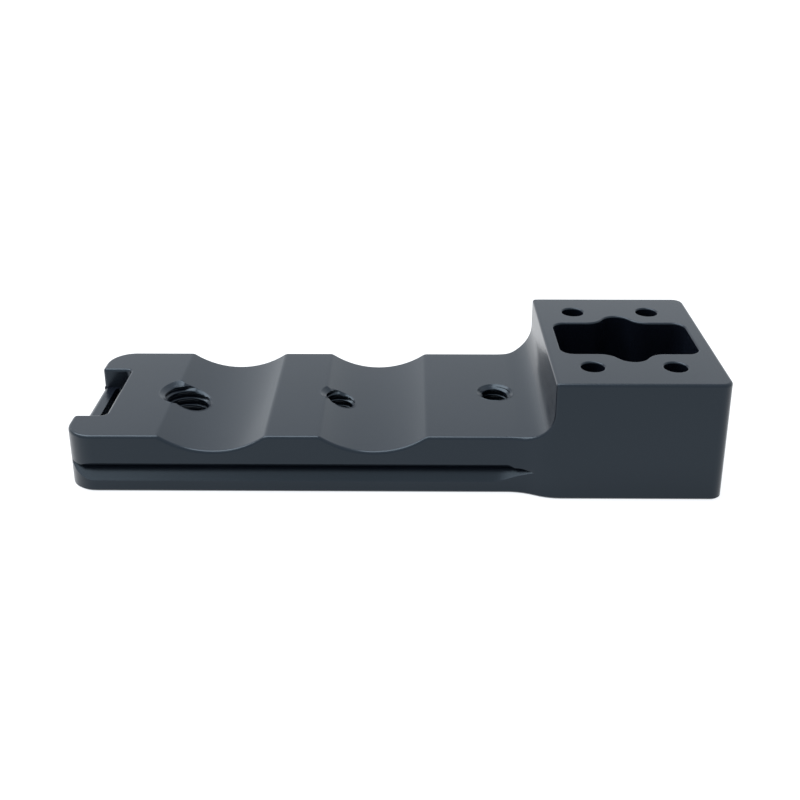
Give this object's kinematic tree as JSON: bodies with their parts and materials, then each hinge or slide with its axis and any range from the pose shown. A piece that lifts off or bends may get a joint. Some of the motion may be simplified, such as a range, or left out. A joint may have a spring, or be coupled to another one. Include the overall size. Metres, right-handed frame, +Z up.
{
  "type": "lens collar foot",
  "caption": "One-piece low-profile foot: a dovetail plate with finger scallops, tripod threads and a strap bar, rising to a block that screws under a lens collar.",
  "frame": {"origin": "centre of the base face", "axes": "+X along the plate towards the block, +Y across the plate, +Z up to the lens collar"},
  "size_m": [0.1242, 0.0426, 0.024],
  "materials": {
    "anodised_black": "bead-blasted satin black anodised"
  },
  "bodies": {
    "root": {"foot": "anodised_black"}
  },
  "joints": []
}
